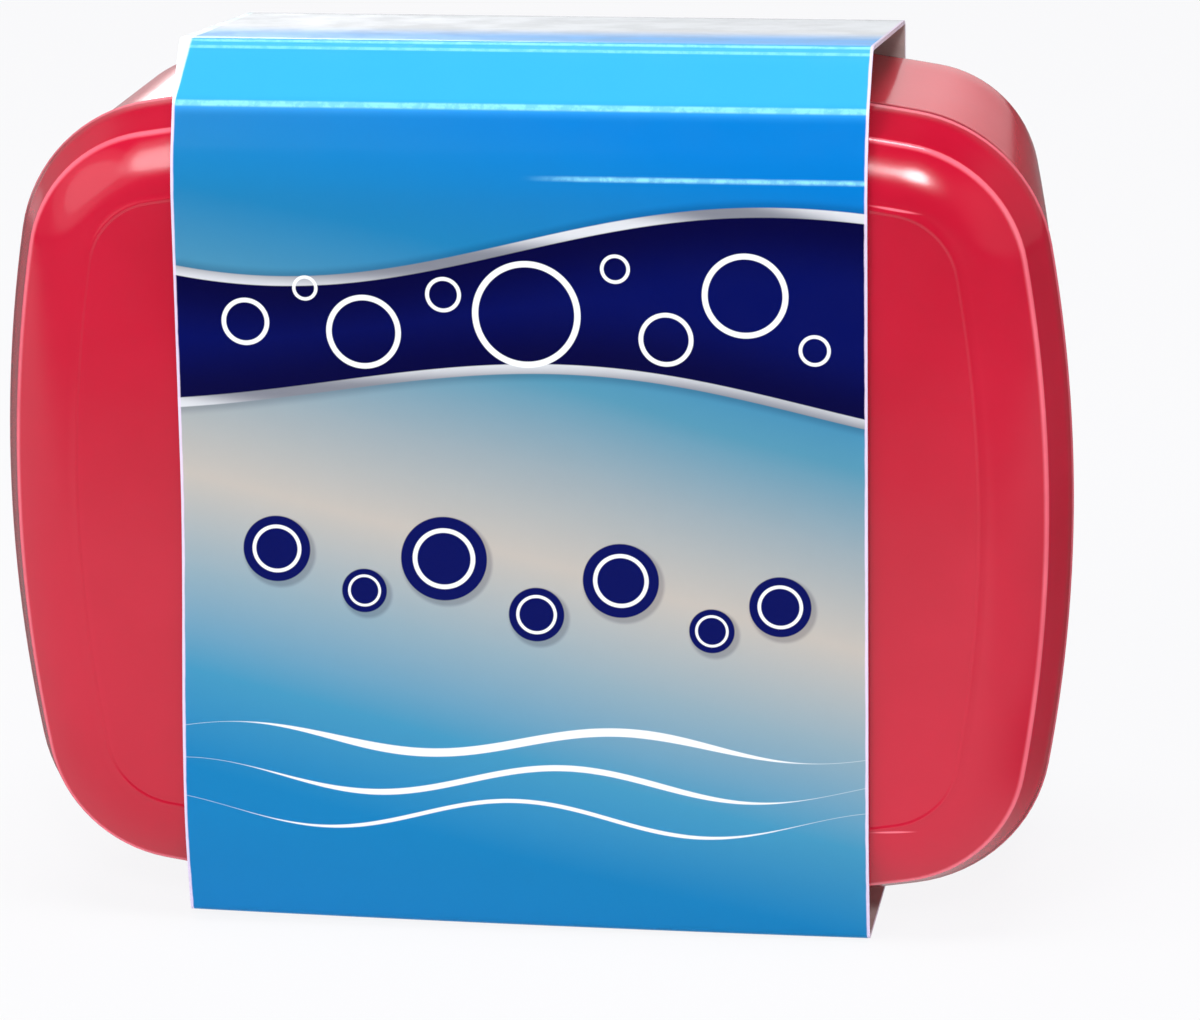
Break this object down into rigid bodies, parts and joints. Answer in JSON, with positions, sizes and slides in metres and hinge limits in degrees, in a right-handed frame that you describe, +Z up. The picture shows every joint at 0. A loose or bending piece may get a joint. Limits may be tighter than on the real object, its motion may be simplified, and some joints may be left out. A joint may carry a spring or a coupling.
{
  "type": "denture case",
  "caption": "Hinged plastic case with bowed sides for a denture, standing on a long side inside a printed card sleeve that slides off.",
  "frame": {"origin": "middle of the footprint, on the surface that the sleeve's lower panel rests on", "axes": "+Z up towards the hinge side, -Y out of the lid's face, +X to the right as seen from the lid"},
  "size_m": [0.105, 0.0402, 0.0877],
  "materials": {
    "base_plastic": "gloss",
    "lid_plastic": "gloss",
    "pin_steel": "drawn wire",
    "sleeve_card": "gloss varnish over print"
  },
  "bodies": {
    "base": {"base_shell": "base_plastic", "lid_shell": "lid_plastic", "hinge_pin": "pin_steel"},
    "sleeve": {"card_sleeve": "sleeve_card"}
  },
  "joints": [
    {"name": "sleeve_slide", "type": "slide", "parent": "base", "child": "sleeve", "axis": [1, 0, 0], "range_m": [-0.1, 0.1]}
  ]
}
